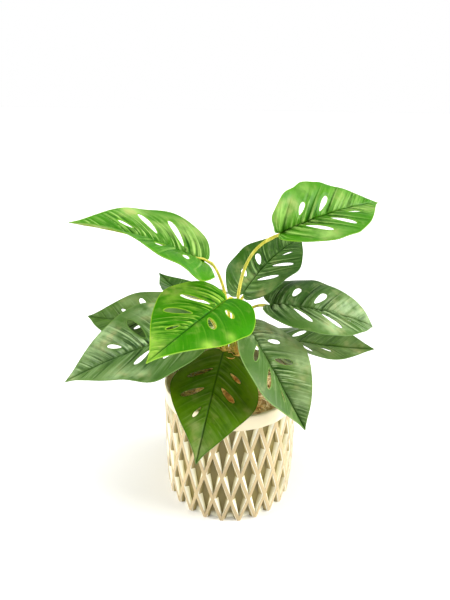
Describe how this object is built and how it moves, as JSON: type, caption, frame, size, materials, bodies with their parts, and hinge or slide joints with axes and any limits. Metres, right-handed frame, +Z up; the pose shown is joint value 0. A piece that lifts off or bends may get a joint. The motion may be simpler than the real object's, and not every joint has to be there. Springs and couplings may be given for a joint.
{
  "type": "potted monstera adansonii",
  "caption": "Young monstera adansonii with windowed heart-shaped leaves on thin stalks, in a cream glazed pot with a diamond lattice and a filling of curled fibre.",
  "frame": {"origin": "middle of the flat underside of the pot", "axes": "+Z up along the pot's axis; -Y towards the viewer of the picture, the front of the plant; +X to the viewer's right"},
  "size_m": [0.2714, 0.2477, 0.2816],
  "materials": {
    "pot_glaze": "cream-white glazed ceramic, semi-gloss",
    "plug_foam": "dark matte planting block, hidden under the fibre",
    "curled_fibre": "dry tan-brown curled fibre, matte",
    "blade_bright": "bright yellow-green leaf, satin, pleated between its veins",
    "blade_deep": "deep green leaf, satin",
    "blade_grey_green": "grey-green leaf with a soft gloss",
    "stalk_yellow": "smooth yellow-green leaf stalk"
  },
  "bodies": {
    "root": {"pot": "pot_glaze", "plug": "plug_foam", "fibre": "curled_fibre", "leaf_upper_left": "blade_bright", "leaf_upper_right": "blade_bright", "leaf_centre": "blade_bright", "leaf_front": "blade_deep", "leaf_front_right": "blade_grey_green", "leaf_right": "blade_grey_green", "leaf_back_right": "blade_deep", "leaf_left": "blade_grey_green", "leaf_left_back": "blade_grey_green", "leaf_back_left": "blade_deep", "leaf_right_low": "blade_deep", "leaf_behind": "blade_deep", "leaf_behind_right": "blade_deep", "leaf_behind_left": "blade_deep", "stem_upper_left": "stalk_yellow", "stem_upper_right": "stalk_yellow", "stem_centre": "stalk_yellow", "stem_front": "stalk_yellow", "stem_front_right": "stalk_yellow", "stem_right": "stalk_yellow", "stem_back_right": "stalk_yellow", "stem_left": "stalk_yellow", "stem_left_back": "stalk_yellow", "stem_back_left": "stalk_yellow", "stem_right_low": "stalk_yellow", "stem_behind": "stalk_yellow", "stem_behind_right": "stalk_yellow", "stem_behind_left": "stalk_yellow"}
  },
  "joints": []
}
